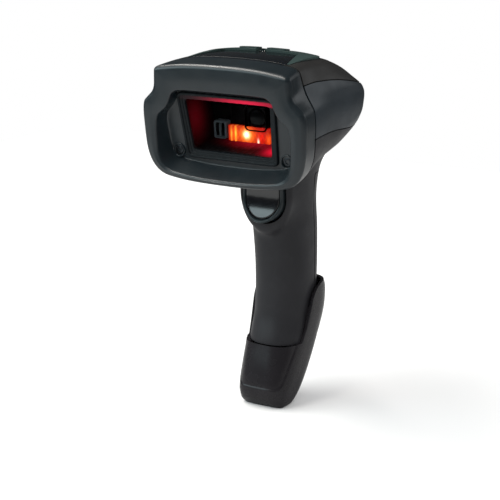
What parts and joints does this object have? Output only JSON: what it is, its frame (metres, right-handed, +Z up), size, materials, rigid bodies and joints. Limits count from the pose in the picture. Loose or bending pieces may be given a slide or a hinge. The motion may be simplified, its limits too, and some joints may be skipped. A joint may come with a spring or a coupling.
{
  "type": "handheld barcode scanner",
  "caption": "Pistol-grip cordless barcode scanner with a wide bezel and window, a finger trigger, a two-shell grip and a removable battery boot.",
  "frame": {"origin": "middle of the flat base of the boot, on the table", "axes": "+Z up, the window looks along -Y, +X to the left of a user who holds it"},
  "size_m": [0.0842, 0.0831, 0.1717],
  "materials": {
    "blue_grey_plastic": "satin moulded plastic",
    "brown_grey_plastic": "fine matt moulded plastic",
    "grip_plastic": "matt soft-touch plastic",
    "boot_plastic": "smooth satin plastic",
    "gloss_black": "polished black plate",
    "trim_plastic": "satin green-grey plastic",
    "trigger_plastic": "satin plastic",
    "pad_gloss": "polished concave pad",
    "black_plastic": "black moulded plastic",
    "seal_rubber": "black elastomer",
    "steel": "plated steel",
    "brass": "gold-flashed contact",
    "circuit_board": "solder-masked glass epoxy",
    "chip": "moulded chip",
    "clear_window": "clear coated window",
    "lens_glass": "coated dark lens",
    "red_guide": "translucent red light guide",
    "lamp": "lit lamp",
    "cell_wrap": "shrink-wrapped cell",
    "ribbon": "amber flexible circuit",
    "lead_insulation": "red insulation",
    "chassis_metal": "pressed steel",
    "ivory_plastic": "switch button"
  },
  "bodies": {
    "housing": {"window_frame": "black_plastic", "scan_window": "clear_window", "window_gasket": "seal_rubber", "front_bezel": "blue_grey_plastic", "bezel_screw_left": "steel", "bezel_screw_right": "steel", "label_inlay": "gloss_black", "top_trim": "trim_plastic", "status_light_pipe": "clear_window", "top_cover": "brown_grey_plastic", "head_band": "blue_grey_plastic", "engine_housing": "black_plastic", "lens_holder": "black_plastic", "camera_lens": "lens_glass", "light_guide": "red_guide", "illumination_led_left": "lamp", "illumination_led_right": "lamp", "aimer_module": "black_plastic", "engine_board": "circuit_board", "engine_bracket": "chassis_metal", "main_board": "circuit_board", "decoder_chip": "chip", "radio_module": "chassis_metal", "buzzer": "black_plastic", "status_led": "lamp", "flex_cable": "ribbon", "handle_front_shell": "grip_plastic", "handle_rear_shell": "grip_plastic", "case_screw_left": "steel", "case_screw_right": "steel", "case_screw_lower": "steel", "trigger_pin": "steel", "trigger_spring": "steel", "trigger_board": "circuit_board", "trigger_switch": "black_plastic", "battery_cell": "cell_wrap", "battery_contact": "brass", "battery_lead": "lead_insulation", "cap_seal": "seal_rubber"},
    "trigger_lever": {"trigger": "trigger_plastic", "trigger_pad": "pad_gloss"},
    "switch_button": {"switch_plunger": "ivory_plastic"},
    "boot": {"battery_cap": "boot_plastic", "cap_screw": "steel", "charge_contact_left": "brass", "charge_contact_right": "brass", "battery_spring": "steel"}
  },
  "joints": [
    {"name": "trigger_pull", "type": "hinge", "parent": "housing", "child": "trigger_lever", "pos_m": [0, 0.003, 0.1143], "axis": [1, 0, 0], "range_deg": [0, 5], "stiffness_Nm_per_rad": 0.35, "springref_deg": -11.46},
    {"name": "switch_press", "type": "slide", "parent": "housing", "child": "switch_button", "axis": [0, 1, 0], "range_m": [0, 0.0014]},
    {"name": "boot_removal", "type": "slide", "parent": "housing", "child": "boot", "axis": [0, -0.0995, -0.995], "range_m": [0, 0.062]}
  ],
  "couplings": [
    {"joint": "switch_press", "follows": "trigger_pull", "m_per_rad": 0.016}
  ]
}
